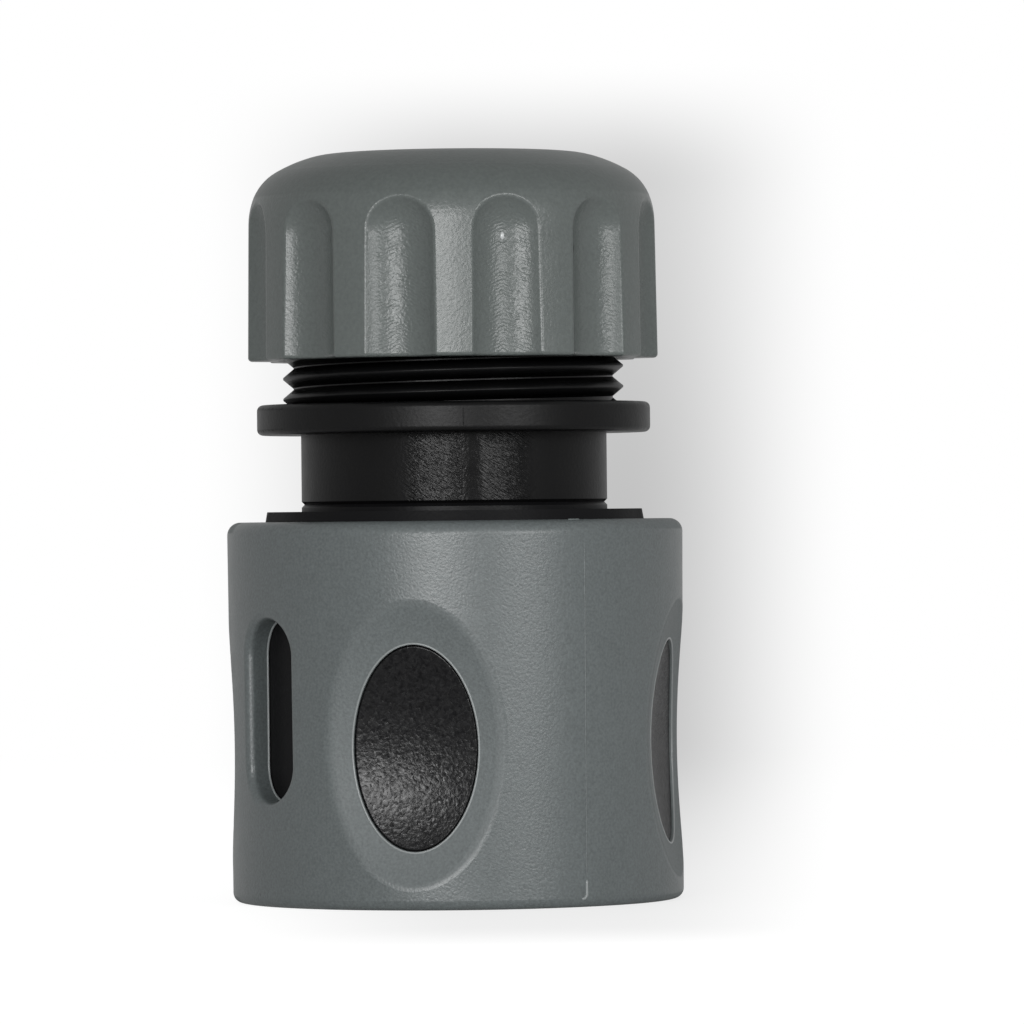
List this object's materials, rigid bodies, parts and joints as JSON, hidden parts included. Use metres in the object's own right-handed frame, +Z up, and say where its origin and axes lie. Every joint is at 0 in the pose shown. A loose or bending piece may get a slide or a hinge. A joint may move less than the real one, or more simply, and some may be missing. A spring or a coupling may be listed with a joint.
{
  "type": "hose connector",
  "caption": "Quick-release garden hose connector: a fluted clamping nut for the hose, a threaded neck and a sprung sliding grip that frees the jaws of its plug socket.",
  "frame": {"origin": "centre of the grip's foot ring, on the surface that the connector stands on", "axes": "+Z up along the bore towards the hose end, +X and -X through the two slots of the grip, +Y and -Y through its mould parting lines"},
  "size_m": [0.0384, 0.0384, 0.0628],
  "materials": {
    "grey_plastic": "satin moulded grey plastic",
    "black_plastic": "matt black moulded plastic",
    "collet_plastic": "smooth black plastic",
    "jaw_plastic": "pale slippery plastic",
    "seal_rubber": "black sealing rubber",
    "spring_steel": "drawn stainless wire"
  },
  "bodies": {
    "connector_body": {"hose_tail": "black_plastic", "socket_body": "black_plastic", "body_seal": "seal_rubber", "return_spring": "spring_steel"},
    "grip": {"grip_shell": "grey_plastic", "grip_core": "black_plastic", "cam_ring": "black_plastic"},
    "jaw_1": {"locking_jaw_1": "jaw_plastic"},
    "jaw_2": {"locking_jaw_2": "jaw_plastic"},
    "jaw_3": {"locking_jaw_3": "jaw_plastic"},
    "jaw_4": {"locking_jaw_4": "jaw_plastic"},
    "collet": {"clamping_collet": "collet_plastic"},
    "nut": {"hose_nut": "grey_plastic"}
  },
  "joints": [
    {"name": "grip_slide", "type": "slide", "parent": "connector_body", "child": "grip", "axis": [0, 0, 1], "range_m": [0, 0.005], "stiffness_N_per_m": 2000, "springref_m": -0.003, "deforming": ["return_spring"]},
    {"name": "jaw_1_slide", "type": "slide", "parent": "connector_body", "child": "jaw_1", "axis": [1, 0, 0], "range_m": [0, 0.00125]},
    {"name": "jaw_2_slide", "type": "slide", "parent": "connector_body", "child": "jaw_2", "axis": [0, 1, 0], "range_m": [0, 0.00125]},
    {"name": "jaw_3_slide", "type": "slide", "parent": "connector_body", "child": "jaw_3", "axis": [-1, 0, 0], "range_m": [0, 0.00125]},
    {"name": "jaw_4_slide", "type": "slide", "parent": "connector_body", "child": "jaw_4", "axis": [0, -1, 0], "range_m": [0, 0.00125]},
    {"name": "collet_lift", "type": "slide", "parent": "connector_body", "child": "collet", "axis": [0, 0, 1], "range_m": [-0.00355, 0.0088]},
    {"name": "nut_turn", "type": "hinge", "parent": "collet", "child": "nut", "pos_m": [0, 0, 0.054], "axis": [0, 0, 1], "range_deg": [-720, 1800]}
  ],
  "couplings": [
    {"joint": "jaw_1_slide", "follows": "grip_slide", "ratio": 0.24},
    {"joint": "jaw_2_slide", "follows": "grip_slide", "ratio": 0.24},
    {"joint": "jaw_3_slide", "follows": "grip_slide", "ratio": 0.24},
    {"joint": "jaw_4_slide", "follows": "grip_slide", "ratio": 0.24},
    {"joint": "collet_lift", "follows": "nut_turn", "m_per_rad": 0.00027852}
  ]
}
